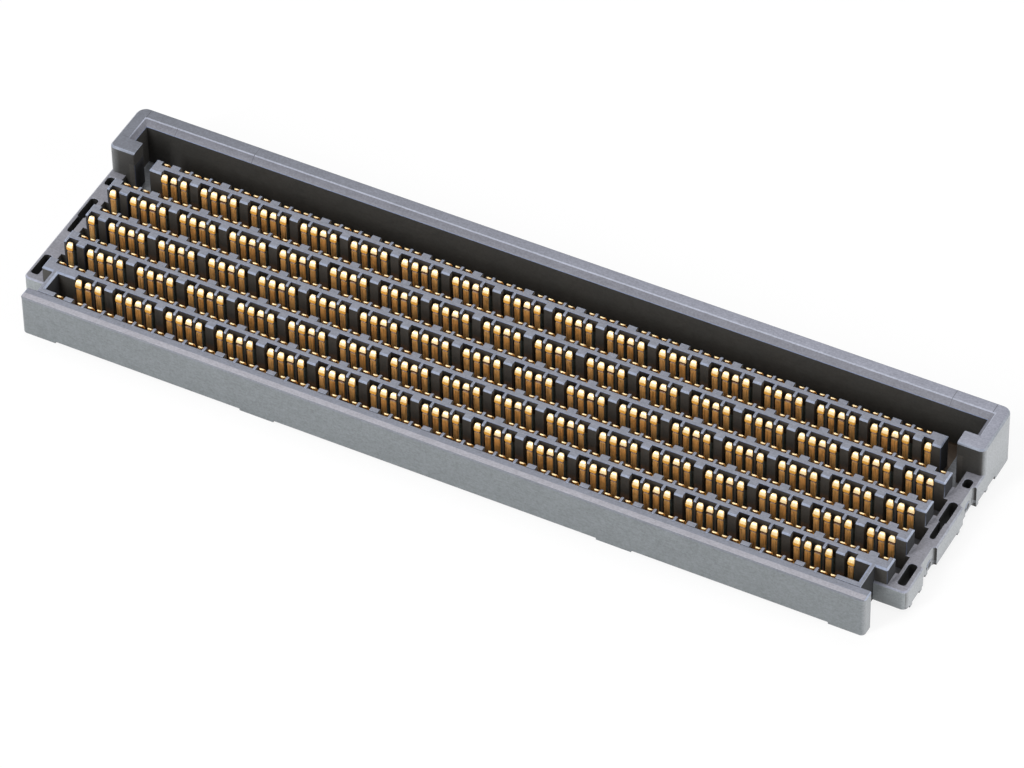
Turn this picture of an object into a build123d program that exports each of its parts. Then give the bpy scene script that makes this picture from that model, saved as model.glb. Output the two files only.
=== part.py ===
from build123d import *
import os

# Heights above the board
wall_top = 4.40
rib_top = 3.40
flange_top = 2.00
floor_top = 0.60
body_bottom = 0.33

# Clearances round an identical connector turned over and pressed into this one
plate_clearance = 0.19
hook_clearance = 0.05
end_clearance = 0.38
rib_clearance = 0.25

# Contact array: columns of four contacts run along X, each rib carries a row on both faces
columns = 15
column_pitch = 4.0
ground_to_signal = 0.80        # outer contact of a column to the signal contact beside it
signal_to_signal = 0.75        # the two contacts of a differential pair
pattern_offset = -0.25         # the array sits a little left of the housing's middle
ribs = 5
rib_pitch = 3.0

# Ribs: a thin spine with solid blocks between the columns, bevelled along the top
rib_width = 1.28
spine_width = 0.34
rib_bevel = 0.12
block_width = 0.65
end_margin = 0.03              # clearance between the last contact of a row and the end block
long_end_block = 0.23          # from there to the rib's end, on the side with least room
short_end_block = 0.53

# Contacts: tapered blades that stand in open pockets and lean towards the mouth
contact_width = 0.48
contact_foot = 0.24            # thickness of the blade at the floor
foot_inset = 0.10              # clearance between the blade and the spine behind it
tip_drop = 0.12                # depth of the tip below the rib's top
tip_inset = 0.10               # depth of the tip behind the rib's face

# Bars under the floor, between the rows of contact tails
bar_width = 0.36
bar_bottom = 0.10

# Tall wall at the back with a hook round each end
back_wall = 1.48
side_wall = 1.25
wall_corner = 0.75
wall_bevel = 0.14
lead_in_depth = 0.37           # slope round the inside of the wall's top
back_lead_in = 0.53
side_lead_in = 0.37

# End flanges with through slots and shallow recesses
flange_corner = 0.45
flange_bevel = 0.12
right_slot_inset = 0.40        # from the end face to the slots
left_slot_inset = 0.24
slot_width = 0.62
slot_length = 2.10
rear_slot_length = 0.82
slot_margin = 0.60             # from the flange's two ends to the first slots
slot_spacing = 1.62            # solid bridge between the rear slot and the middle one
neck_width = 0.42              # narrow part of the middle slot
neck_length = 1.65
recess_depth = 0.28            # the right-hand end alone has recesses
recess_length = 2.10
rear_recess_margin = 1.09      # from the flange's two ends to the recesses
front_recess_margin = 2.68

# Front plate and the closed slot behind it
plate_thickness = 1.05
plate_step = 0.05              # the plate's top lies this far under the ribs' tops
plate_bottom = 0.15
plate_bevel = 0.10
slot_end_wall = 0.38
slot_end_bevel = 0.15

# Standoff pads that touch the board
pad_length = 2.65
inner_pad_x = 13.70
rear_pad_depth = 2.70

# Places along X, from the middle; the ribs' lengths follow from the array and all else from them
contact_steps = (0.0, ground_to_signal, ground_to_signal + signal_to_signal,
                 2 * ground_to_signal + signal_to_signal)
rear_shift = column_pitch / 2
first_column = pattern_offset - columns * column_pitch / 2
block_margin = (column_pitch - contact_steps[3] - block_width) / 2
end_reach = contact_width / 2 + end_margin
long_half = column_pitch - contact_steps[3] - first_column + end_reach + long_end_block
short_half = long_half - long_end_block - rear_shift + short_end_block
inner_half = long_half + rib_clearance
half_length = inner_half + side_wall
plate_half = inner_half - end_clearance
slot_inner = short_half + end_clearance
slot_outer = slot_inner + slot_end_wall
hook_tip = slot_outer + end_clearance

# Places along Y, from the mating line that both connectors share when they are joined
rib_half = rib_width / 2
first_rib = (ribs - 0.5) * rib_pitch / 2
last_face = first_rib - (ribs - 1) * rib_pitch - rib_half
tongue_line = first_rib - ribs * rib_pitch
plate_rear = tongue_line + spine_width / 2
plate_front = plate_rear - plate_thickness
wall_inner = plate_clearance - plate_front
wall_rear = wall_inner + back_wall
hook_front = first_rib - rib_half
hook_rear = first_rib + rib_half
flange_front = hook_clearance - hook_front
mating_y = -(wall_rear + plate_front) / 2      # the origin is the middle of the footprint

# Rows of contacts by their places in the array, four places to a column
short_front = range(1, 4 * columns + 1)
long_front = range(-1, 4 * columns + 3)
short_rear = range(-1, 4 * columns - 1)
long_rear = range(-3, 4 * columns + 1)


def box(x0, x1, y0, y1, z0, z1):
    block = Box(x1 - x0, y1 - y0, z1 - z0)
    return Pos((x0 + x1) / 2, (y0 + y1) / 2, (z0 + z1) / 2) * block


def outline(points):
    return make_face(Polyline(*points, close=True))


def upright(points, z0, z1):
    return Pos(0, 0, z0) * extrude(outline(points), z1 - z0)


def along_x(points, x0, x1):
    # Carries a section of (y, z) points along X
    section = Plane.YZ.offset(x0) * outline(points)
    return extrude(section, x1 - x0, dir=(1, 0, 0))


def along_y(points, y0, y1):
    # Carries a section of (x, z) points along Y
    section = Plane.XZ.offset(-y0) * outline(points)
    return extrude(section, y1 - y0, dir=(0, 1, 0))


def both_ends(shape):
    return shape + mirror(shape, Plane.YZ)


def place_x(place, shift):
    column, step = divmod(place, 4)
    return first_column + shift + column * column_pitch + contact_steps[step]


def pockets(row, shift):
    # One open pocket for each column, or for the part of a column at a row's end
    edges = []
    for column in range(row[0] // 4, row[-1] // 4 + 1):
        first = max(row[0], 4 * column)
        last = min(row[-1], 4 * column + 3)
        left = block_margin if first % 4 == 0 else end_reach
        right = block_margin if last % 4 == 3 else end_reach
        edges.append((place_x(first, shift) - left, place_x(last, shift) + right))
    return edges


def comb_edge(row, shift, half, spine_y, face_y):
    # Toothed edge from left to right: teeth reach the face, pockets stop at the spine
    points = [(-half, face_y)]
    for left, right in pockets(row, shift):
        points += [(left, face_y), (left, spine_y), (right, spine_y), (right, face_y)]
    points.append((half, face_y))
    return points


def rib(index, half, front_row, rear_row):
    y = first_rib - index * rib_pitch
    shoulder = rib_top - rib_bevel
    front = comb_edge(front_row, 0, half, y - spine_width / 2, y - rib_half)
    rear = comb_edge(rear_row, rear_shift, half, y + spine_width / 2, y + rib_half)
    comb = upright(front + rear[::-1], body_bottom, rib_top)
    section = [(y - rib_half, body_bottom), (y + rib_half, body_bottom), (y + rib_half, shoulder),
               (y + rib_half - rib_bevel, rib_top), (y - rib_half + rib_bevel, rib_top),
               (y - rib_half, shoulder)]
    comb = comb & along_x(section, -half, half)
    corner = [(half, shoulder), (half, rib_top), (half - rib_bevel, rib_top)]
    return comb - both_ends(along_y(corner, y - rib_half, y + rib_half))


def tongue():
    # Teeth on the rear of the front plate, for the last row of contacts
    face = tongue_line + rib_half
    root = tongue_line - spine_width / 2
    teeth = comb_edge(short_rear, rear_shift, slot_outer, plate_rear, face)
    comb = upright([(-slot_outer, root)] + teeth + [(slot_outer, root)], body_bottom, rib_top)
    edge = [(face, rib_top - rib_bevel), (face, rib_top), (face - rib_bevel, rib_top)]
    step = box(-slot_outer, slot_outer, root, plate_rear, rib_top - plate_step, rib_top)
    return comb - along_x(edge, -slot_outer, slot_outer) - step


def plate():
    top = rib_top - plate_step
    shoulder = top - plate_bevel
    slab = box(-plate_half, plate_half, plate_front, plate_rear, plate_bottom, top)
    edge = [(plate_front, shoulder), (plate_front, top), (plate_front + plate_bevel, top)]
    slab -= along_x(edge, -plate_half, plate_half)
    corner = [(plate_half, shoulder), (plate_half, top), (plate_half - plate_bevel, top)]
    return slab - both_ends(along_y(corner, plate_front, plate_rear))


def slot_end():
    # Wall that closes the front slot, bevelled towards the slot
    section = [(slot_outer, body_bottom), (slot_outer, rib_top), (slot_inner + slot_end_bevel, rib_top),
               (slot_inner, rib_top - slot_end_bevel), (slot_inner, body_bottom)]
    return along_y(section, plate_rear, last_face + rib_bevel)


def floor():
    base = box(-inner_half, inner_half, flange_front, wall_inner, body_bottom, floor_top)
    base += box(-slot_outer, slot_outer, plate_rear, flange_front, body_bottom, floor_top)
    for count in range(2 * ribs):
        y = first_rib - count * rib_pitch / 2
        half = slot_outer if y < flange_front or abs(y) < rib_pitch / 2 else half_length
        base += box(-half, half, y - bar_width / 2, y + bar_width / 2, bar_bottom, body_bottom)
    return base


def flange():
    # Right-hand flange; its inner edge meets the rib ends and is undercut at the gaps
    block = box(slot_outer, half_length, flange_front, hook_rear, body_bottom, flange_top)
    corner = block.edges().filter_by(Axis.Z).sort_by(lambda edge: edge.center().X - edge.center().Y)[-1]
    block = fillet(corner, flange_corner)
    rim = block.faces().sort_by(Axis.Z)[-1].edges()
    block = chamfer(rim.filter_by(lambda edge: edge.center().X > long_half or edge.center().Y < last_face),
                    flange_bevel)
    block -= box(0, long_half, last_face, wall_rear, floor_top, flange_top)
    for index in range(ribs - 1):
        y = first_rib - (index + 0.5) * rib_pitch
        reach = (rib_pitch - rib_width) / 2
        block -= box(long_half, inner_half, y - reach, y + reach, floor_top, flange_top)
    return block


def flange_slots(inset):
    # Rear slot, middle slot with its neck towards the front, and front slot, on the right-hand side
    outer = half_length - inset
    inner = outer - slot_width
    neck_inner = (outer + inner - neck_width) / 2
    rear_end = hook_front - slot_margin
    middle_end = rear_end - rear_slot_length - slot_spacing
    front_end = flange_front + slot_margin
    cuts = box(inner, outer, rear_end - rear_slot_length, rear_end, 0, flange_top)
    cuts += box(inner, outer, middle_end - slot_length, middle_end, 0, flange_top)
    cuts += box(neck_inner, neck_inner + neck_width, middle_end - slot_length - neck_length, middle_end,
                0, flange_top)
    return cuts + box(inner, outer, front_end, front_end + slot_length, 0, flange_top)


def end_recesses():
    inner = half_length - recess_depth
    rear_end = hook_front - rear_recess_margin
    front_end = flange_front + front_recess_margin
    cuts = box(inner, half_length, rear_end - recess_length, rear_end, 0, flange_top)
    return cuts + box(inner, half_length, front_end, front_end + recess_length, 0, flange_top)


def wall_block():
    depth = wall_rear - hook_front
    block = Pos(0, hook_front + depth / 2, 0) * extrude(Rectangle(2 * half_length, depth), wall_top)
    block = fillet(block.edges().filter_by(Axis.Z).sort_by(Axis.Y)[2:], wall_corner)
    block = fillet(block.edges().filter_by(Axis.Z).sort_by(Axis.Y)[:2], flange_corner)
    return chamfer(block.faces().sort_by(Axis.Z)[-1].edges(), wall_bevel)


def lead_in():
    # Opening that widens towards the top, along the back wall and both ends
    low = Pos(0, (hook_rear + wall_inner) / 2, wall_top - lead_in_depth)
    low *= Rectangle(2 * inner_half, wall_inner - hook_rear)
    high = Pos(0, (hook_rear + wall_inner + back_lead_in) / 2, wall_top)
    high *= Rectangle(2 * (inner_half + side_lead_in), wall_inner + back_lead_in - hook_rear)
    return loft([low, high])


def tall_wall():
    pad_edge = half_length - wall_corner - pad_length
    wall = wall_block()
    wall -= box(-hook_tip, hook_tip, hook_front, hook_rear, floor_top, wall_top)
    wall -= box(-inner_half, inner_half, hook_rear, wall_inner, floor_top, wall_top)
    wall -= lead_in()
    wall -= box(-half_length, half_length, hook_front, wall_rear - rear_pad_depth, 0, body_bottom)
    gap = box(inner_pad_x + pad_length / 2, pad_edge, hook_front, wall_rear, 0, body_bottom)
    middle = inner_pad_x - pad_length / 2
    return wall - both_ends(gap) - box(-middle, middle, hook_front, wall_rear, 0, body_bottom)


def plate_pads():
    outer = box(plate_half - pad_length, plate_half, plate_front, plate_rear, 0, plate_bottom)
    inner = box(inner_pad_x - pad_length / 2, inner_pad_x + pad_length / 2,
                plate_front, plate_rear, 0, plate_bottom)
    return both_ends(outer + inner)


def housing():
    body = tall_wall() + floor() + both_ends(flange()) + plate() + tongue()
    body += rib(0, short_half, short_front, short_rear)
    for index in range(1, ribs - 1):
        body += rib(index, long_half, long_front, long_rear)
    body += rib(ribs - 1, long_half, short_front, long_rear)
    body += both_ends(slot_end())
    body += plate_pads()
    body -= flange_slots(right_slot_inset) + end_recesses()
    body -= mirror(flange_slots(left_slot_inset), Plane.YZ)
    return Pos(0, mating_y, 0) * body


def contact(x, y, facing):
    # facing is -1 on a rib's front face and 1 on its rear face
    foot = spine_width / 2 + foot_inset
    section = [(y + facing * foot, floor_top),
               (y + facing * (foot + contact_foot), floor_top),
               (y + facing * (rib_half - tip_inset), rib_top - tip_drop)]
    return along_x(section, x - contact_width / 2, x + contact_width / 2)


def contact_rows():
    # From the tall wall to the front plate: middle of the rib, facing, places
    rows = []
    for index in range(ribs):
        y = first_rib - index * rib_pitch
        rows.append((y, 1, short_rear if index == 0 else long_rear))
        rows.append((y, -1, short_front if index in (0, ribs - 1) else long_front))
    rows.append((tongue_line, 1, short_rear))
    return rows


def contacts(row, steps):
    y, facing, places = row
    shift = rear_shift if facing > 0 else 0
    chosen = [place for place in places if place % 4 in steps]
    return Compound([contact(place_x(place, shift), mating_y + y, facing) for place in chosen])


os.makedirs("parts", exist_ok=True)
export_step(housing(), "parts/housing.step")
for number, row in enumerate(contact_rows(), start=1):
    export_step(contacts(row, (0, 3)), f"parts/ground_contacts_row_{number:02d}.step")
    export_step(contacts(row, (1, 2)), f"parts/signal_contacts_row_{number:02d}.step")
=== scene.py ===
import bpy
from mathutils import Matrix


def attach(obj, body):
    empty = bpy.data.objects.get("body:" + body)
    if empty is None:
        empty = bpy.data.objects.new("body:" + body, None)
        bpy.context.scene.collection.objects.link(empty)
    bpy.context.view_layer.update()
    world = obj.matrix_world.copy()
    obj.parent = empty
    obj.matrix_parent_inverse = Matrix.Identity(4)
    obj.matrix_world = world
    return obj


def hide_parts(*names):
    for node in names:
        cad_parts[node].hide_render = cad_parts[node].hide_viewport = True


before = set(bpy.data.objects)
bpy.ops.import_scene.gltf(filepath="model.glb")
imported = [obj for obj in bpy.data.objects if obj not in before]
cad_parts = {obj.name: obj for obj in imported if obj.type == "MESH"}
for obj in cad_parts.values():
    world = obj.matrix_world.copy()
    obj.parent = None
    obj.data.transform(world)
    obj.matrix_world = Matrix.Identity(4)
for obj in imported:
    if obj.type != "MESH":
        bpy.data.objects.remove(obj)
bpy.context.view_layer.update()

import math

import bmesh
import bpy
import numpy as np
from mathutils import Matrix

mm = 0.001
sliver = 0.001 * mm  # a difference that counts as none
rng = np.random.default_rng(7)

# What the array repeats, in millimetres
contactArray = {
    "columns": 15,
    "pitch": 4.0,
    "steps": (0.0, 0.80, 1.55, 2.35),
    "offset": -0.25,
    "ribPitch": 3.0,
    "firstRib": 5.915,
    "rows": 5,
}
# A rib's section, in millimetres
ribSection = {
    "half": 0.64,
    "spineHalf": 0.17,
    "top": 3.40,
    "bevel": 0.12,
    "floorTop": 0.60,
}


def linear(hexColour):
    # sRGB hex to linear light, with alpha 1
    values = [int(hexColour[i:i + 2], 16) / 255 for i in (1, 3, 5)]
    return tuple(v / 12.92 if v <= 0.04045 else ((v + 0.055) / 1.055) ** 2.4 for v in values) + (1.0,)


def newMaterial(name):
    # A material with its node tree and its shader
    material = bpy.data.materials.new(name)
    material.use_nodes = True
    tree = material.node_tree
    return material, tree, tree.nodes["Principled BSDF"]


def addNode(tree, kind, sockets=None, **properties):
    # One node with its properties; a socket gets either a value or another node's output
    node = tree.nodes.new(kind)
    for key, value in properties.items():
        setattr(node, key, value)
    for key, value in (sockets or {}).items():
        if isinstance(value, bpy.types.NodeSocket):
            tree.links.new(value, node.inputs[key])
        else:
            node.inputs[key].default_value = value
    return node


def copies(shape, count, size):
    # The faces of a shape for each of its copies, whose points follow one another, size to a copy
    return [tuple(corner + size * n for corner in face) for n in range(count) for face in shape]


def meshPiece(name, points, faces, material, smooth=True):
    # A piece of the object from points in millimetres
    mesh = bpy.data.meshes.new(name)
    mesh.from_pydata(np.asarray(points, float).reshape(-1, 3) * mm, [], faces)
    mesh.polygons.foreach_set("use_smooth", [smooth] * len(mesh.polygons))
    mesh.materials.append(material)
    mesh.update()
    piece = bpy.data.objects.new(name, mesh)
    bpy.context.scene.collection.objects.link(piece)
    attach(piece, "root")
    return piece


# Limits that several zones share
lookingUp, sloping, lookingForward = ("toZ", 0.9, 2), ("toZ", 0.3, 0.9), ("toY", -2, -0.75)
amongRibs, ribLength, ribEnds = ("y", -8.8, 7), ("side", 0, 32.3), ("side", 30, 32.5)
spine, blockFront, floorSkin = ("rib", 0, 0.21), ("rib", 0.6, 0.66), ("z", 0.5, 0.75)
leadInDepth, leadInLength, slotDepth = ("y", 6.6, 9.2), ("side", 0, 33.1), ("z", -1, 1.98)
plasticZones = (
    # Tones of the skin, later ones over earlier ones. Limits are in millimetres for places (x, y, z,
    # side = distance from the middle along X, rib = distance from the nearest rib's middle) and from
    # -1 to 1 for the way a face looks (toX, toY, toZ, sideways = either way along X). A fade gives
    # the place where its tone starts and the place where it is full; matt adds to the roughness.
    # Painted light on faces that look up: all, the tops of ribs and plate, and the tall wall's, painted
    # lighter to the right
    {"tone": "#7F7F87", "where": (lookingUp,)},
    {"tone": "#787B86", "where": (lookingUp, ("z", 3.2, 9))},
    {"tone": "#656871", "where": (lookingUp, ("z", 4.2, 9))},
    {"tone": "#888A96", "where": (lookingUp, ("z", 4.2, 9)), "fade": ("x", -32, 18)},
    # Painted highlights on the fine chamfers: all, then round the flanges, then round the tall wall
    {"tone": "#848DA2", "where": (sloping,)},
    {"tone": "#9093A2", "where": (sloping, ("z", 1.7, 2.0))},
    {"tone": "#838997", "where": (sloping, ("z", 4.2, 4.4))},
    # Painted shade in the pockets: rims, spine behind the heads, spine behind the beams, sides
    {"tone": "#3A4468", "where": (spine, ribLength, ("toZ", 0.1, 0.7), ("z", 3.2, 3.6), ("y", -8.9, 7))},
    {"tone": "#322E2A", "where": (spine, ribLength, amongRibs, ("z", 2.3, 3.35), ("toZ", -2, 0.1))},
    {"tone": "#55605F", "where": (spine, ribLength, amongRibs, ("z", 0.6, 2.3), ("toZ", -2, 0.5))},
    {"tone": "#5C544C", "where": (amongRibs, ("sideways", 0.75, 2), ("rib", 0.2, 0.63), ("z", 0.6, 3.27),
                                  ("side", 0, 31.2))},
    # Painted shade on the ends of the ribs, and on their corners
    {"tone": "#1F2023", "where": (ribEnds, amongRibs, ("sideways", 0.9, 2), ("z", 0.62, 3.27)), "matt": 0.3},
    {"tone": "#3A4050", "where": (ribEnds, amongRibs, ("sideways", 0.3, 0.9), ("z", 0.62, 3.27),
                                  ("toZ", -0.3, 0.3))},
    # Painted light on the slope inside the tall wall's top, darker than the chamfers' painted highlight
    {"tone": "#6E6F78", "where": (sloping, leadInDepth, leadInLength, ("z", 3.9, 4.39))},
    # Painted shade on the floor between the ribs, lighter at their ends and beside the hooks
    {"tone": "#4C3F33", "where": (floorSkin,)},
    {"tone": "#55565A", "where": (floorSkin, ("side", 31.2, 34))},
    {"tone": "#7C7F84", "where": (floorSkin, ("side", 30.9, 34), ("y", 3.0, 9.2))},
    # Painted shade on the fronts of the blocks, and on their lower half a painted reflection of the gold
    {"tone": "#3E3C39", "where": (lookingForward, blockFront, ribLength, ("z", 0.6, 3.27))},
    {"tone": "#8A5C34", "where": (lookingForward, blockFront, ("z", 0.6, 1.8), ("side", 0, 30)),
     "share": 0.5, "fade": ("z", 1.8, 1.1)},
    # Painted light on the front plate: a lighter band along the front of its top, its chamfer, and its front
    # face
    {"tone": "#98979F", "where": (lookingUp, ("z", 3.2, 9), ("y", -10, -9.42))},
    {"tone": "#6A6E76", "where": (sloping, ("y", -10, -9.8))},
    {"tone": "#73787B", "where": (("toY", -2, -0.3), ("toZ", -2, 0.3), ("y", -10, -9.5))},
    # Painted light on the flanges' front faces, the end faces and the plate's ends, and a painted highlight
    # on the slopes above the ribs' ends
    {"tone": "#8F9497", "where": (lookingForward, ("y", -6.95, -6.4), ("side", 31.46, 34), ("z", -1, 2.02))},
    {"tone": "#A2A5A8", "where": (("side", 33.4, 34),), "fade": ("sideways", 0.5, 1.0)},
    {"tone": "#94979A", "where": (("y", -10, -8.9), ("side", 31.8, 32.4), ("toZ", -2, 0.3)),
     "fade": ("sideways", 0.3, 0.95)},
    {"tone": "#9CA4B6", "where": (sloping, ribEnds, ("toX", 0.3, 0.9))},
    # Painted light on the left hook's front, lighter to the left
    {"tone": "#76787A", "where": (lookingForward, ("y", 5.2, 5.4), ("z", 2, 4.3)),
     "fade": ("x", -33.1, -33.95)},
    # Painted shade inside the flanges' slots, right and left
    {"tone": "#131313", "where": (slotDepth, ("x", 32.86, 33.52), ("y", -6.35, 5.2), ("toZ", -2, 0.5)),
     "matt": 0.6},
    {"tone": "#131313", "where": (slotDepth, ("x", -33.68, -33.02), ("y", -6.35, 5.2), ("toZ", -2, 0.5)),
     "matt": 0.6},
    # Back face, undersides in painted shade, and the middles of the raised rings
    {"tone": "#73787B", "where": (("toY", 0.75, 2), ("y", 9.8, 10))},
    {"tone": "#5A5C60", "where": (("toZ", -2, -0.75),)},
    {"tone": "#4A4B50", "where": (("x", 33.626, 33.64), ("z", 0.55, 1.01), ("sideways", 0.8, 2))},
    # Painted highlights along the upper and lower edge of the slope inside the tall wall
    {"tone": "#A0A4B2", "where": (leadInLength, ("toZ", 0.3, 0.985), ("z", 4.345, 4.399), ("y", 6.6, 9.05))},
    {"tone": "#6C7794", "where": (sloping, leadInDepth, leadInLength, ("z", 3.99, 4.05))},
    # Hairlines where the mould's blocks meet
    {"tone": "#3E4048", "where": (("x", -32.99, -32.95), ("z", 4.385, 5), ("y", 8.3, 9.8))},
    {"tone": "#4C4E56", "where": (("x", -30.42, -30.38), ("z", 4.0, 4.39), ("y", 8.3, 9.2))},
    {"tone": "#54565E", "where": (("x", -24.22, -24.18), ("z", 3.9, 5), ("y", 8.3, 9.9))},
    {"tone": "#54565E", "where": (("x", 29.78, 29.82), ("z", 3.9, 5), ("y", 8.3, 9.9))},
    {"tone": "#4C4E56", "where": (("x", 32.78, 32.82), ("z", 4.385, 5), ("y", 9.0, 9.8))},
    {"tone": "#4C4E56", "where": (("x", -33.6, -31.7), ("z", 4.385, 5), ("y", 6.63, 6.67))},
    {"tone": "#565860", "where": (("x", -26.29, -26.25), ("z", 3.3, 3.37), ("y", -9.45, -8.7))},
    {"tone": "#5A5C66", "where": (lookingUp, ("z", 3.3, 3.37), ("y", -8.945, -8.905), ("side", 0, 32.2))},
)
plasticSkin = {
    "paintedCavityShade": "#31302E",     # painted shade of the narrow cavities: the tone where no zone applies
    "roughness": 0.40,
    "fibreRoughness": 0.25,  # added where fibres come to the surface
    "level": 0.28,           # the tone is multiplied by this plus the shares of the three patterns
    "speck": (0.15, 0.80),   # size in millimetres, share
    "fibre": (0.09, 0.46),
    "cloud": (2.0, 0.18),
    "fibreStretch": 0.15,
    "relief": 0.012,
    "reliefStrength": 0.2,
    "refraction": 1.6,
    "specular": 0.35,
}


def housingPlastic():
    # Glass-filled liquid crystal polymer, injection moulded: matt, with a lilac cast and fibre speckle on the
    # open skin.
    # Its tones hold painted light: lighter where faces look up or out, painted highlights along the chamfers,
    # and near black painted shade in the narrow cavities.
    material, tree, shader = newMaterial("moulded glass-filled LCP")
    coords = addNode(tree, "ShaderNodeTexCoord").outputs["Object"]
    place = addNode(tree, "ShaderNodeSeparateXYZ", {0: coords}).outputs
    geometry = addNode(tree, "ShaderNodeNewGeometry")
    facing = addNode(tree, "ShaderNodeSeparateXYZ", {0: geometry.outputs["True Normal"]}).outputs
    # Nearest rib: Y is wrapped to half a pitch either way of a rib's middle
    half, middle = contactArray["ribPitch"] / 2 * mm, contactArray["firstRib"] * mm
    wrapped = addNode(tree, "ShaderNodeMath", {0: place["Y"], 1: middle + half, 2: middle - half},
                      operation="WRAP").outputs[0]
    fromRib = addNode(tree, "ShaderNodeMath", {0: wrapped, 1: middle}, operation="SUBTRACT").outputs[0]
    signals = {"x": place["X"], "y": place["Y"], "z": place["Z"],
               "toX": facing["X"], "toY": facing["Y"], "toZ": facing["Z"]}
    for key, source in (("side", place["X"]), ("rib", fromRib), ("sideways", facing["X"])):
        signals[key] = addNode(tree, "ShaderNodeMath", {0: source}, operation="ABSOLUTE").outputs[0]

    units = {key: mm if key in ("x", "y", "z", "side", "rib") else 1.0 for key in signals}
    tone, matt = linear(plasticSkin["paintedCavityShade"]), plasticSkin["roughness"]
    for zone in plasticZones:
        mask = zone.get("share", 1.0)
        for key, low, high in zone["where"]:
            centre, reach = (low + high) / 2 * units[key], (high - low) / 2 * units[key]
            inside = addNode(tree, "ShaderNodeMath", {0: signals[key], 1: centre, 2: reach},
                             operation="COMPARE").outputs[0]
            mask = addNode(tree, "ShaderNodeMath", {0: inside, 1: mask}, operation="MULTIPLY").outputs[0]
        if "fade" in zone:
            key, start, full = zone["fade"]
            fade = addNode(tree, "ShaderNodeMapRange", {"Value": signals[key], "From Min": start * units[key],
                                                        "From Max": full * units[key]}).outputs[0]
            mask = addNode(tree, "ShaderNodeMath", {0: fade, 1: mask}, operation="MULTIPLY").outputs[0]
        tone = addNode(tree, "ShaderNodeMix", {0: mask, 6: tone, 7: linear(zone["tone"])},
                       data_type="RGBA").outputs[2]
        if "matt" in zone:
            matt = addNode(tree, "ShaderNodeMath", {0: mask, 1: zone["matt"], 2: matt},
                           operation="MULTIPLY_ADD").outputs[0]

    # Fibre bundles show as specks and short lines along the ribs, and flow marks as clouds
    speckSize, speckShare = plasticSkin["speck"]
    fibreSize, fibreShare = plasticSkin["fibre"]
    cloudSize, cloudShare = plasticSkin["cloud"]
    speck = addNode(tree, "ShaderNodeTexNoise", {"Vector": coords, "Scale": 1 / (speckSize * mm),
                                                 "Detail": 3.0, "Roughness": 0.6}).outputs["Fac"]
    cloud = addNode(tree, "ShaderNodeTexNoise", {"Vector": coords, "Scale": 1 / (cloudSize * mm),
                                                 "Detail": 2.0}).outputs["Fac"]
    stretched = addNode(tree, "ShaderNodeMapping",
                        {0: coords, "Scale": (plasticSkin["fibreStretch"], 1.0, 1.0)}).outputs[0]
    fibre = addNode(tree, "ShaderNodeTexNoise", {"Vector": stretched, "Scale": 1 / (fibreSize * mm),
                                                 "Detail": 2.0}).outputs["Fac"]
    lift = plasticSkin["level"]
    for pattern, share in ((speck, speckShare), (fibre, fibreShare), (cloud, cloudShare)):
        lift = addNode(tree, "ShaderNodeMath", {0: pattern, 1: share, 2: lift},
                       operation="MULTIPLY_ADD").outputs[0]
    tone = addNode(tree, "ShaderNodeVectorMath", {0: tone, 1: lift}, operation="MULTIPLY").outputs[0]
    tree.links.new(tone, shader.inputs["Base Color"])
    rough = addNode(tree, "ShaderNodeMath", {0: fibre, 1: plasticSkin["fibreRoughness"], 2: matt},
                    operation="MULTIPLY_ADD").outputs[0]
    tree.links.new(rough, shader.inputs["Roughness"])
    shader.inputs["IOR"].default_value = plasticSkin["refraction"]
    shader.inputs["Specular IOR Level"].default_value = plasticSkin["specular"]
    bump = addNode(tree, "ShaderNodeBump", {"Height": fibre, "Strength": plasticSkin["reliefStrength"],
                                            "Distance": plasticSkin["relief"] * mm})
    tree.links.new(bump.outputs[0], shader.inputs["Normal"])
    return material


goldTones = {
    # From the tip down
    # painted highlight on the front of the head
    "headHighlight": "#F8DEAA",
    "rim": "#E8A04A",
    # painted amber reflection of the neighbouring gold under the bend
    "underBend": "#FFBC54",
    "thirdBand": "#5A3416",  # takes the place of underBend on the third contact of a column
    # painted shade in the crease of the neck
    "crease": "#4A280C",
    # painted highlight along the shoulder
    "shoulder": "#E2B066",
    "streak": "#7A5026",     # lines and stains of the beam
}
goldHeights = {
    # Heights on the strip, in millimetres, at which a look starts and at which it is full
    # the foot is painted lighter towards its end, as painted light
    "foot": (2.05, 1.2),
    "shoulder": (2.42, 2.45),
    "crease": (2.515, 2.53),
    "underBend": (2.64, 2.665),
    "thirdBand": (2.62, 2.65),
    "bend": (2.91, 2.925),
    "polish": (2.4, 2.7),
    "tip": 3.14,             # above it lie the cut faces of the tip
    "shade": (2.78, 0.14),   # middle and half height of the face under the bend
}
goldSkin = {
    "lineSize": 0.10,        # in millimetres
    "lineStretch": 0.06,
    "stainSize": 0.45,
    "streaks": (0.48, 0.70, 0.65),   # where the pattern starts to show, where it is full, share
    "stains": (0.50, 0.72, 0.35),    # the same
    "sides": (0.80, 0.45),   # how far a face looks along X where the head's painted highlight starts and is full
    "metallic": 0.3,
    "roughness": (0.42, 0.24),       # of the beam and of the head
    "lineRoughness": 0.12,   # added along the lines
    "relief": 0.01,
    "reliefStrength": 0.15,
}


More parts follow.
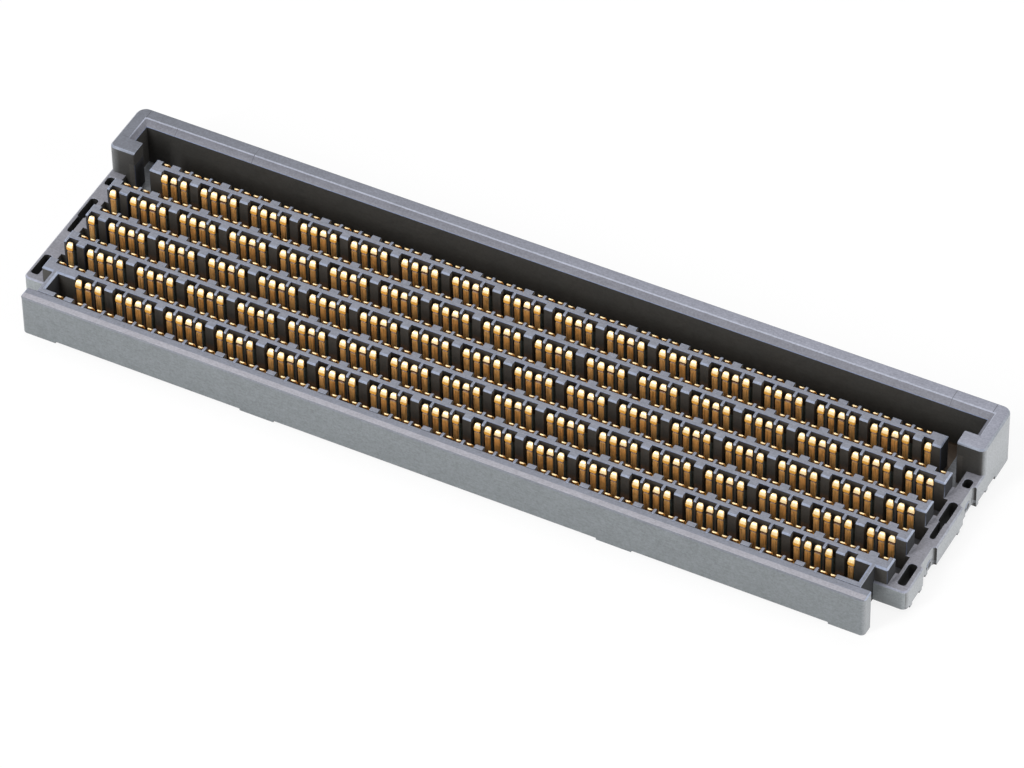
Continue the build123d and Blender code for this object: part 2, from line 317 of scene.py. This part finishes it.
def goldPlating(name, beamTone, footTone):
    # Hard gold over nickel on stamped copper alloy: polished on the head, duller and browner down the beam,
    # with fine lines of the rolled strip. Its colours hold painted light: a painted highlight on the front of
    # the head, a painted amber reflection of the gold under the bend, painted shade in the crease, a painted
    # highlight on the shoulder, and a foot painted lighter towards its end.
    material, tree, shader = newMaterial(name)
    coords = addNode(tree, "ShaderNodeTexCoord").outputs["Object"]
    height = addNode(tree, "ShaderNodeAttribute", attribute_name="stripHeight").outputs["Fac"]
    third = addNode(tree, "ShaderNodeAttribute", attribute_name="thirdContact").outputs["Fac"]
    stretched = addNode(tree, "ShaderNodeMapping", {0: coords, "Scale": (1.0, 1.0, goldSkin["lineStretch"])})
    lines = addNode(tree, "ShaderNodeTexNoise", {"Vector": stretched.outputs[0], "Detail": 2.0,
                                                 "Scale": 1 / (goldSkin["lineSize"] * mm)}).outputs["Fac"]
    stains = addNode(tree, "ShaderNodeTexNoise", {"Vector": coords, "Detail": 2.0,
                                                  "Scale": 1 / (goldSkin["stainSize"] * mm)}).outputs["Fac"]
    masks = {}
    for key, pattern in (("streaks", lines), ("stains", stains)):
        start, full, share = goldSkin[key]
        masks[key] = addNode(tree, "ShaderNodeMapRange", {"Value": pattern, "From Min": start,
                                                          "From Max": full, "To Max": share}).outputs[0]
    for key in ("foot", "shoulder", "crease", "underBend", "thirdBand", "bend"):
        start, full = goldHeights[key]
        masks[key] = addNode(tree, "ShaderNodeMapRange", {"Value": height, "From Min": start,
                                                          "From Max": full}).outputs[0]
    masks["thirdBand"] = addNode(tree, "ShaderNodeMath", {0: masks["thirdBand"], 1: third},
                                 operation="MULTIPLY").outputs[0]
    # Painted highlight on the front of the head: not on its sides nor on the cut faces of the tip
    geometry = addNode(tree, "ShaderNodeNewGeometry")
    facing = addNode(tree, "ShaderNodeSeparateXYZ", {0: geometry.outputs["Normal"]}).outputs
    sideways = addNode(tree, "ShaderNodeMath", {0: facing["X"]}, operation="ABSOLUTE").outputs[0]
    start, full = goldSkin["sides"]
    frontal = addNode(tree, "ShaderNodeMapRange", {"Value": sideways, "From Min": start, "From Max": full})
    front = addNode(tree, "ShaderNodeMath", {0: masks["bend"], 1: frontal.outputs[0]},
                    operation="MULTIPLY").outputs[0]
    cut = addNode(tree, "ShaderNodeMath", {0: height, 1: goldHeights["tip"]},
                  operation="GREATER_THAN").outputs[0]
    cut = addNode(tree, "ShaderNodeMath", {0: cut, 1: facing["Z"]}, operation="SUBTRACT").outputs[0]
    whole = addNode(tree, "ShaderNodeMath", {0: cut, 1: 0.5}, operation="LESS_THAN").outputs[0]
    masks["headHighlight"] = addNode(tree, "ShaderNodeMath", {0: front, 1: whole}, operation="MULTIPLY").outputs[0]

    tone = linear(beamTone)
    for key, colour in (("foot", footTone), ("streaks", goldTones["streak"]), ("stains", goldTones["streak"]),
                        ("shoulder", goldTones["shoulder"]), ("crease", goldTones["crease"]),
                        ("underBend", goldTones["underBend"]), ("thirdBand", goldTones["thirdBand"]),
                        ("bend", goldTones["rim"]), ("headHighlight", goldTones["headHighlight"])):
        tone = addNode(tree, "ShaderNodeMix", {0: masks[key], 6: tone, 7: linear(colour)},
                       data_type="RGBA").outputs[2]
    tree.links.new(tone, shader.inputs["Base Color"])
    # A grained plating scatters most of the light, all of it under the bend, where the amber is a painted
    # reflection of the neighbouring gold
    middle, reach = goldHeights["shade"]
    under = addNode(tree, "ShaderNodeMath", {0: height, 1: middle, 2: reach}, operation="COMPARE").outputs[0]
    metal = addNode(tree, "ShaderNodeMath", {0: under, 1: -goldSkin["metallic"], 2: goldSkin["metallic"]},
                    operation="MULTIPLY_ADD").outputs[0]
    tree.links.new(metal, shader.inputs["Metallic"])
    (start, full), (beamRough, headRough) = goldHeights["polish"], goldSkin["roughness"]
    dull = addNode(tree, "ShaderNodeMapRange", {"Value": height, "From Min": start, "From Max": full,
                                                "To Min": beamRough, "To Max": headRough}).outputs[0]
    rough = addNode(tree, "ShaderNodeMath", {0: lines, 1: goldSkin["lineRoughness"], 2: dull},
                    operation="MULTIPLY_ADD").outputs[0]
    tree.links.new(rough, shader.inputs["Roughness"])
    bump = addNode(tree, "ShaderNodeBump", {"Height": lines, "Strength": goldSkin["reliefStrength"],
                                            "Distance": goldSkin["relief"] * mm})
    tree.links.new(bump.outputs[0], shader.inputs["Normal"])
    return material


solderSkin = {
    "hollows": "#9A9CA0",
    "peaks": "#C9CBCE",
    "grain": 0.08,           # size and relief in millimetres
    "relief": 0.01,
    "reliefStrength": 0.3,
    "roughness": (0.35, 0.5),
}


def solderAlloy():
    # Tin-silver-copper solder, reflowed: dull grey metal with a grainy skin
    material, tree, shader = newMaterial("reflowed solder")
    coords = addNode(tree, "ShaderNodeTexCoord").outputs["Object"]
    grain = addNode(tree, "ShaderNodeTexNoise", {"Vector": coords, "Scale": 1 / (solderSkin["grain"] * mm),
                                                 "Detail": 3.0}).outputs["Fac"]
    tone = addNode(tree, "ShaderNodeMix", {0: grain, 6: linear(solderSkin["hollows"]),
                                           7: linear(solderSkin["peaks"])}, data_type="RGBA").outputs[2]
    tree.links.new(tone, shader.inputs["Base Color"])
    shader.inputs["Metallic"].default_value = 1.0
    smoothest, roughest = solderSkin["roughness"]
    rough = addNode(tree, "ShaderNodeMapRange", {"Value": grain, "To Min": smoothest,
                                                 "To Max": roughest}).outputs[0]
    tree.links.new(rough, shader.inputs["Roughness"])
    bump = addNode(tree, "ShaderNodeBump", {"Height": grain, "Strength": solderSkin["reliefStrength"],
                                            "Distance": solderSkin["relief"] * mm})
    tree.links.new(bump.outputs[0], shader.inputs["Normal"])
    return material


plastic = housingPlastic()
groundGold = goldPlating("gold plated ground contact", "#FFC276", "#FFD084")
signalGold = goldPlating("gold plated signal contact", "#FFBA6A", "#FFCA7A")
solder = solderAlloy()
print("materials ready")


def rowTable():
    # Middle of the rib, facing, first and last place; from the tall wall to the front plate
    columns = contactArray["columns"]
    shortFront, longFront = (1, 4 * columns), (-1, 4 * columns + 2)
    shortRear, longRear = (-1, 4 * columns - 2), (-3, 4 * columns)
    rows = []
    for index in range(contactArray["rows"]):
        y = contactArray["firstRib"] - index * contactArray["ribPitch"]
        rows.append((y, 1, shortRear if index == 0 else longRear))
        rows.append((y, -1, shortFront if index in (0, contactArray["rows"] - 1) else longFront))
    y = contactArray["firstRib"] - contactArray["rows"] * contactArray["ribPitch"]
    rows.append((y, 1, shortRear))
    return rows


def placesX(places, facing):
    # Column number times the pitch plus the step within the column, for each place
    places = np.asarray(places)
    start = contactArray["offset"] - contactArray["columns"] * contactArray["pitch"] / 2
    start += contactArray["pitch"] / 2 if facing > 0 else 0
    return start + (places // 4) * contactArray["pitch"] + np.array(contactArray["steps"])[places % 4]


housingEdges = {
    # Where edges lie, in millimetres: along X from the middle, along Y, and upwards
    "plateEnd": 32.1,
    "plateFront": -9.85,     # the nearer end of an edge at the plate's corners is in front of this
    "plateSlope": -9.7,      # and its farther end in front of this
    "slots": (32.8, 33.72),
    "slotMiddle": 2.05,      # the middle of an upright edge in a slot is below this
    "ribEnds": (30.4, 32.45),
    "flangeTop": 2.0,
    # Angles in degrees: faces that are merged, edges that stay as they are, and square edges
    "merged": 1,
    "least": 30,
    "square": 80,
    # Radii in millimetres
    "cornerRadius": 0.34,    # at the plate's front corners
    "radius": 0.40,          # other edges get a share of it
    "slotShare": 0.50,
    "endShare": 0.25,
    "rimShare": 0.12,
    "topShare": 0.10,
    "fineShare": 0.05,
    "segments": 3,
}


def within(distance, key):
    # Between two distances from the middle, on either side
    low, high = housingEdges[key]
    return low * mm < abs(distance) < high * mm


def atPlateCorner(edge):
    # The upright edge at either end of the plate's front, and the slope above it
    a, b = (vert.co for vert in edge.verts)
    atEnd = min(abs(a.x), abs(b.x)) > housingEdges["plateEnd"] * mm and abs(a.x - b.x) < sliver
    atFront = (min(a.y, b.y) < housingEdges["plateFront"] * mm
               and max(a.y, b.y) < housingEdges["plateSlope"] * mm)
    return atEnd and atFront and abs(a.z - b.z) > sliver


def radiusShare(edge):
    # The share of the full radius that an edge gets, or None for an inner edge that stays sharp
    a, b = (vert.co for vert in edge.verts)
    middle = (a + b) / 2
    upright, flat = (a - b).xy.length < sliver, abs(a.z - b.z) < sliver
    if not edge.is_convex:
        inSlot = upright and within(a.x, "slots") and middle.z < housingEdges["slotMiddle"] * mm
        return housingEdges["slotShare"] if inSlot else None
    if edge.calc_face_angle() > math.radians(housingEdges["square"]):
        if flat and abs(a.z - housingEdges["flangeTop"] * mm) < 10 * sliver and within(middle.x, "slots"):
            return housingEdges["rimShare"]
        if upright and within(a.x, "ribEnds"):
            return housingEdges["endShare"]
        if flat and a.z > ribSection["top"] * mm - 20 * sliver:
            return housingEdges["topShare"]
    return housingEdges["fineShare"]


def roundedHousing():
    # The CAD housing, merged, with the fine radii of a moulding along its outer edges
    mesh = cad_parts["housing"].data.copy()
    mesh.name = "housingMoulding"
    body = bmesh.new()
    body.from_mesh(mesh)
    bmesh.ops.remove_doubles(body, verts=body.verts, dist=2 * sliver)
    bmesh.ops.dissolve_limit(body, angle_limit=math.radians(housingEdges["merged"]), verts=body.verts,
                             edges=body.edges)
    corners = [edge for edge in body.edges if atPlateCorner(edge)]
    rounded = bmesh.ops.bevel(body, geom=corners, offset=housingEdges["cornerRadius"] * mm, profile=0.5,
                              segments=2 * housingEdges["segments"], affect="EDGES", clamp_overlap=False)
    for face in rounded["faces"]:
        for edge in face.edges:
            edge.smooth = False
    weights = body.edges.layers.float.new("bevel_weight_edge")
    for edge in body.edges:
        if edge.calc_face_angle() < math.radians(housingEdges["least"]):
            continue
        share = radiusShare(edge)
        if share is None:
            edge.smooth = False
        else:
            edge[weights] = share
    body.to_mesh(mesh)
    body.free()
    mesh.materials.clear()
    mesh.materials.append(plastic)
    mesh.polygons.foreach_set("use_smooth", [True] * len(mesh.polygons))
    piece = bpy.data.objects.new("housingMoulding", mesh)
    bpy.context.scene.collection.objects.link(piece)
    bevel = piece.modifiers.new("moulded radii", "BEVEL")
    bevel.limit_method = "WEIGHT"
    bevel.width = housingEdges["radius"] * mm
    bevel.segments = housingEdges["segments"]
    bevel.use_clamp_overlap = False
    bevel.harden_normals = True
    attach(piece, "root")
    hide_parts("housing")
    return piece


housing = roundedHousing()
print("housing rounded:", len(housing.data.polygons), "faces before its bevel")


separator = {
    "width": 0.20,
    "after": (0, 2),         # the first and the third contact of a column
    "centre": (0.40, 1.95),  # along X from the column's first contact
    "sink": 0.10,            # into the spine and the floor
    "drop": 0.004,           # below the rib's top
    "edge": 0.045,           # its chamfer
}


def separatorPlaces():
    # Where a separator stands between two contacts that the row has: along X, rib's middle, facing
    xs, ribs, facings = [], [], []
    for y, facing, (first, last) in rowTable():
        for column in range(first // 4, last // 4 + 1):
            for step, centre in zip(separator["after"], separator["centre"]):
                if first <= 4 * column + step and 4 * column + step + 1 <= last:
                    xs.append(float(placesX([4 * column], facing)[0]) + centre)
                    ribs.append(y)
                    facings.append(facing)
    return np.array(xs), np.array(ribs), np.array(facings, float)


def separatorFins():
    # The rib's own section, from the spine out to the face, carried across a fin's width
    xs, ribs, facings = separatorPlaces()
    inner, outer = ribSection["spineHalf"] - separator["sink"], ribSection["half"]
    low, top = ribSection["floorTop"] - separator["sink"], ribSection["top"] - separator["drop"]
    bevel = ribSection["bevel"]
    section = np.array([(inner, low), (outer, low), (outer, top - bevel), (outer - bevel, top), (inner, top)])
    across = np.array([-0.5, 0.5]) * separator["width"]
    points = np.empty((len(xs), 2, 5, 3))
    points[..., 0] = xs[:, None, None] + across[None, :, None] * -facings[:, None, None]
    points[..., 1] = ribs[:, None, None] + facings[:, None, None] * section[None, None, :, 0]
    points[..., 2] = section[None, None, :, 1]
    block = [(4, 3, 2, 1, 0), (5, 6, 7, 8, 9)]
    block += [(i, (i + 1) % 5, (i + 1) % 5 + 5, i + 5) for i in range(5)]
    piece = meshPiece("separatorFins", points, copies(block, len(xs), 10), plastic)
    bevelled = piece.modifiers.new("moulded radii", "BEVEL")
    bevelled.width = separator["edge"] * mm
    bevelled.segments = 1
    bevelled.limit_method = "ANGLE"
    bevelled.harden_normals = True
    return piece


ejectorRing = {
    # Raised rings on the right-hand recess faces: places along Y and up, then radius and height proud
    "recessX": 33.62,
    "places": ((3.37, 0.78), (-2.74, 0.78)),
    "profile": ((0.40, -0.01), (0.37, 0.04), (0.28, 0.04), (0.235, 0.012), (0.0, 0.012)),
    "around": 24,
}


def ejectorRings():
    # The profile turned round an axis along X: radius times the cosine and sine of the angle
    places = np.array(ejectorRing["places"])
    radius, proud = np.array(ejectorRing["profile"][:-1]).T
    around, rings = ejectorRing["around"], len(radius)
    angle = np.linspace(0, 2 * np.pi, around, endpoint=False)
    size = rings * around + 1
    points = np.empty((len(places), size, 3))
    proud = np.append(np.repeat(proud, around), ejectorRing["profile"][-1][1])
    points[:, :, 0] = ejectorRing["recessX"] + proud
    points[:, :-1, 1] = places[:, :1] + np.outer(radius, np.cos(angle)).ravel()
    points[:, :-1, 2] = places[:, 1:] + np.outer(radius, np.sin(angle)).ravel()
    points[:, -1, 1:] = places
    shape = [(around * r + i, around * r + (i + 1) % around, around * (r + 1) + (i + 1) % around,
              around * (r + 1) + i) for r in range(rings - 1) for i in range(around)]
    base = around * (rings - 1)
    shape += [(base + i, base + (i + 1) % around, size - 1) for i in range(around)]
    faces = copies(shape, len(places), size)
    return meshPiece("ejectorRings", points, faces, plastic, smooth=False)


ejectorRings()
fins = separatorFins()
print("separator fins:", len(fins.data.polygons) // 7)


contactStrip = {
    # Outer face of the bent strip from the tip down, in millimetres: distance from the rib's middle,
    # height, half width to the left and half width to the right as seen from the front
    "path": ((0.45, 3.255, 0.15, 0.15), (0.56, 3.225, 0.20, 0.20), (0.635, 3.120, 0.240, 0.240),
             (0.725, 2.925, 0.258, 0.262), (0.725, 2.715, 0.258, 0.245), (0.712, 2.655, 0.250, 0.215),
             (0.650, 2.600, 0.222, 0.190), (0.712, 2.520, 0.215, 0.215), (0.700, 0.600, 0.212, 0.212)),
    "sharp": (3, 5, 6, 7),   # points of the path, from 0, where the strip is bent sharply
    "thickness": 0.11,
    "corners": (
        # Of the section: side (-1 left, 1 right), depth as a share of the thickness, cut off the width
        (-1, 0.0, 0.045), (1, 0.0, 0.045), (1, 0.35, 0.0), (1, 1.0, 0.02), (-1, 1.0, 0.02), (-1, 0.35, 0.0),
    ),
    # The third contact of a column has its neck higher, and its beam reaches further to the left
    "neck": (2.3, 2.85),
    "thirdLift": 0.13,
    "beamTop": 2.55,
    "thirdShift": 0.035,
    "scatter": 0.006,        # spread of the heads' places
}


def contactRow(name, row, steps, material):
    # Six-cornered section of the strip carried down the path, one copy for each place
    y, facing, (first, last) = row
    places = np.array([p for p in range(first, last + 1) if p % 4 in steps])
    path, halves = np.split(np.array(contactStrip["path"]), 2, axis=1)
    tangent = np.gradient(path, axis=0)
    tangent /= np.linalg.norm(tangent, axis=1, keepdims=True)
    inward = np.stack([tangent[:, 1], -tangent[:, 0]], 1)       # towards the spine
    across, depth, trim = np.array(contactStrip["corners"]).T
    depth = depth * contactStrip["thickness"]
    reach = halves[:, (across > 0).astype(int)] - trim[None, :]
    third = (places % 4 == (2 if facing < 0 else 1)).astype(float)[:, None, None]
    low, high = contactStrip["neck"]
    neck = ((path[:, 1] < high) & (path[:, 1] > low)).astype(float)[None, :, None]
    beam = (path[:, 1] < contactStrip["beamTop"]).astype(float)[None, :, None]
    left = (across < 0).astype(float)[None, None, :]
    offset = (across * reach)[None] - third * beam * left * contactStrip["thirdShift"]
    scatter = rng.normal(0, contactStrip["scatter"], (len(places), 2))
    points = np.empty((len(places), len(path), 6, 3))
    points[..., 0] = placesX(places, facing)[:, None, None] - facing * offset
    section = path[:, None, :] + inward[:, None, :] * depth[None, :, None]
    lean = (section[..., 1] - ribSection["floorTop"]) / (ribSection["top"] - ribSection["floorTop"])
    points[..., 1] = y + facing * (section[None, ..., 0] + scatter[:, :1, None] * lean[None])
    points[..., 2] = (section[None, ..., 1] + scatter[:, 1:, None] * lean[None]
                      + third * neck * contactStrip["thirdLift"])
    stations = len(path)
    strip = [(6 * s + c, 6 * s + 6 + c, 6 * s + 6 + (c + 1) % 6, 6 * s + (c + 1) % 6)
             for s in range(stations - 1) for c in range(6)]
    shape = strip + [tuple(range(6)), tuple(6 * stations - 1 - c for c in range(6))]
    piece = meshPiece(name, points, copies(shape, len(places), 6 * stations), material)
    # Flat across the strip and smooth along it, but for the bend and the crease
    ends = np.empty(2 * len(piece.data.edges), np.int32)
    piece.data.edges.foreach_get("vertices", ends)
    low, high = np.sort(ends.reshape(-1, 2), axis=1).T
    bent = np.isin(low // 6 % stations, contactStrip["sharp"])
    piece.data.edges.foreach_set("use_edge_sharp", (high - low == 6) | (bent & (high - low < 6)))
    heights = np.broadcast_to(section[None, ..., 1], points.shape[:3])
    thirds = np.broadcast_to(third, points.shape[:3])
    for key, values in (("stripHeight", heights), ("thirdContact", thirds)):
        layer = piece.data.attributes.new(key, "FLOAT", "POINT")
        layer.data.foreach_set("value", np.ascontiguousarray(values, np.float32).ravel())
    return piece


for number, row in enumerate(rowTable(), start=1):
    ground = contactRow(f"groundStrips{number:02d}", row, (0, 3), groundGold)
    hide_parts(f"ground_contacts_row_{number:02d}")
    signal = contactRow(f"signalStrips{number:02d}", row, (1, 2), signalGold)
    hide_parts(f"signal_contacts_row_{number:02d}")
print("contact strips in", number, "rows")


solderBall = {
    "radius": 0.28,
    "centre": 0.28,          # height above the board
    "reach": 0.75,           # from the rib's middle
    "around": 8,
    "down": 5,
}


def solderBalls():
    # A sphere for each contact: radius times the sine and cosine of two angles
    centres = np.concatenate([
        np.stack([placesX(np.arange(first, last + 1), facing),
                  np.full(last - first + 1, y + facing * solderBall["reach"])], 1)
        for y, facing, (first, last) in rowTable()])
    around, down, radius = solderBall["around"], solderBall["down"], solderBall["radius"]
    theta = np.linspace(0, 2 * np.pi, around, endpoint=False)
    phi = np.linspace(0, np.pi, down + 1)[1:-1]
    ring = np.stack([np.outer(np.sin(phi), np.cos(theta)), np.outer(np.sin(phi), np.sin(theta)),
                     np.outer(np.cos(phi), np.ones(around))], -1).reshape(-1, 3)
    ball = np.vstack([[(0, 0, 1)], ring, [(0, 0, -1)]]) * radius
    points = ball[None] + np.c_[centres, np.full(len(centres), solderBall["centre"])][:, None, :]
    last = len(ball) - 1
    shape = [(0, 1 + i, 1 + (i + 1) % around) for i in range(around)]
    shape += [(1 + around * r + i, 1 + around * (r + 1) + i, 1 + around * (r + 1) + (i + 1) % around,
               1 + around * r + (i + 1) % around) for r in range(down - 2) for i in range(around)]
    base = 1 + around * (down - 2)
    shape += [(last, base + (i + 1) % around, base + i) for i in range(around)]
    return meshPiece("solderBalls", points, copies(shape, len(centres), len(ball)), solder)


solderBalls()
print("solder balls placed")


view = {
    # Camera fitted to the photo: place in metres, its axes, and lens and sensor in millimetres
    "place": (0.15525, -0.286945, 0.32061),
    "right": (0.88663502, 0.4622796, -0.01326357),
    "up": (-0.31547348, 0.62553975, 0.71356605),
    "back": (0.33816391, -0.62848834, 0.7004624),
    "lens": 234.085,
    "sensor": 36.0,
}
studio = {
    "world": 0.36,
    "floor": "#F4F4F4",
    "floorGlow": 0.86,       # share of plain white that the camera and reflections see
    "floorHalf": 1.5,        # in metres
    "floorDrop": 0.00002,
    "lamps": (
        # Aimed at the origin: place, width and height in metres, and watts
        ("topSoftbox", (-0.08, 0.12, 0.45), 0.36, 0.36, 0.8),
        ("frontSoftbox", (-0.16, -0.32, 0.26), 0.10, 0.34, 1.5),
        ("rightSoftbox", (0.45, 0.02, 0.16), 0.20, 0.25, 1.0),
    ),
}


def addPlaced(name, data, axes, place):
    # A camera or a lamp, turned so that its own X, Y and Z lie along the given axes
    shown = bpy.data.objects.new(name, data)
    columns = [(*axis, 0.0) for axis in axes] + [(*place, 1.0)]
    shown.matrix_world = Matrix(columns).transposed()
    bpy.context.scene.collection.objects.link(shown)
    return shown


def seenPlainly(tree):
    # 1 for rays of the camera and of mirroring surfaces, 0 for the others
    path = addNode(tree, "ShaderNodeLightPath").outputs
    return addNode(tree, "ShaderNodeMath", {0: path["Is Camera Ray"], 1: path["Is Glossy Ray"]},
                   operation="MAXIMUM").outputs[0]


def setCamera():
    camera = bpy.data.cameras.new("photoCamera")
    camera.sensor_width = view["sensor"]
    camera.lens = view["lens"]
    camera.clip_start, camera.clip_end = 0.01, 10.0
    axes = (view["right"], view["up"], view["back"])
    bpy.context.scene.camera = addPlaced("photoCamera", camera, axes, view["place"])


def setFloor():
    # A wide pale sheet that shows plain white to the camera and to metal, and keeps a soft shadow
    material, tree, shader = newMaterial("pale studio floor")
    shader.inputs["Base Color"].default_value = linear(studio["floor"])
    shader.inputs["Roughness"].default_value = 0.9
    glow = addNode(tree, "ShaderNodeEmission", {"Color": (1, 1, 1, 1), "Strength": 1.0})
    share = addNode(tree, "ShaderNodeMath", {0: seenPlainly(tree), 1: studio["floorGlow"]},
                    operation="MULTIPLY").outputs[0]
    mix = addNode(tree, "ShaderNodeMixShader", {0: share, 1: shader.outputs[0], 2: glow.outputs[0]})
    tree.links.new(mix.outputs[0], tree.nodes["Material Output"].inputs["Surface"])
    across = np.linspace(-studio["floorHalf"], studio["floorHalf"], 9)
    x, y = np.meshgrid(across, across, indexing="ij")
    points = np.stack([x, y, np.full_like(x, -studio["floorDrop"])], -1).reshape(-1, 3)
    faces = [(9 * i + j, 9 * i + 9 + j, 9 * i + 10 + j, 9 * i + j + 1) for i in range(8) for j in range(8)]
    mesh = bpy.data.meshes.new("floorSheet")
    mesh.from_pydata(points, [], faces)
    mesh.materials.append(material)
    sheet = bpy.data.objects.new("floorSheet", mesh)
    bpy.context.scene.collection.objects.link(sheet)


def setWorld():
    # Soft light from all round, which the camera and reflections see as plain white
    world = bpy.data.worlds.new("studio")
    world.use_nodes = True
    tree = world.node_tree
    tree.nodes.clear()
    around = addNode(tree, "ShaderNodeBackground", {"Color": (1, 1, 1, 1), "Strength": studio["world"]})
    white = addNode(tree, "ShaderNodeBackground", {"Color": (1, 1, 1, 1), "Strength": 1.0})
    mix = addNode(tree, "ShaderNodeMixShader", {0: seenPlainly(tree), 1: around.outputs[0],
                                                2: white.outputs[0]})
    addNode(tree, "ShaderNodeOutputWorld", {"Surface": mix.outputs[0]})
    bpy.context.scene.world = world


def setLamps():
    # Each softbox looks at the origin: its back axis points away from it
    for name, place, width, height, watts in studio["lamps"]:
        lamp = bpy.data.lights.new(name, "AREA")
        lamp.shape = "RECTANGLE"
        lamp.size, lamp.size_y = width, height
        lamp.energy = watts
        back = np.array(place) / np.linalg.norm(place)
        right = np.cross((0, 0, 1), back)
        right /= np.linalg.norm(right)
        addPlaced(name, lamp, (right, np.cross(back, right), back), place)


setCamera()
setFloor()
setWorld()
setLamps()
bpy.context.scene.view_settings.view_transform = "Standard"
print("camera, floor and light set")
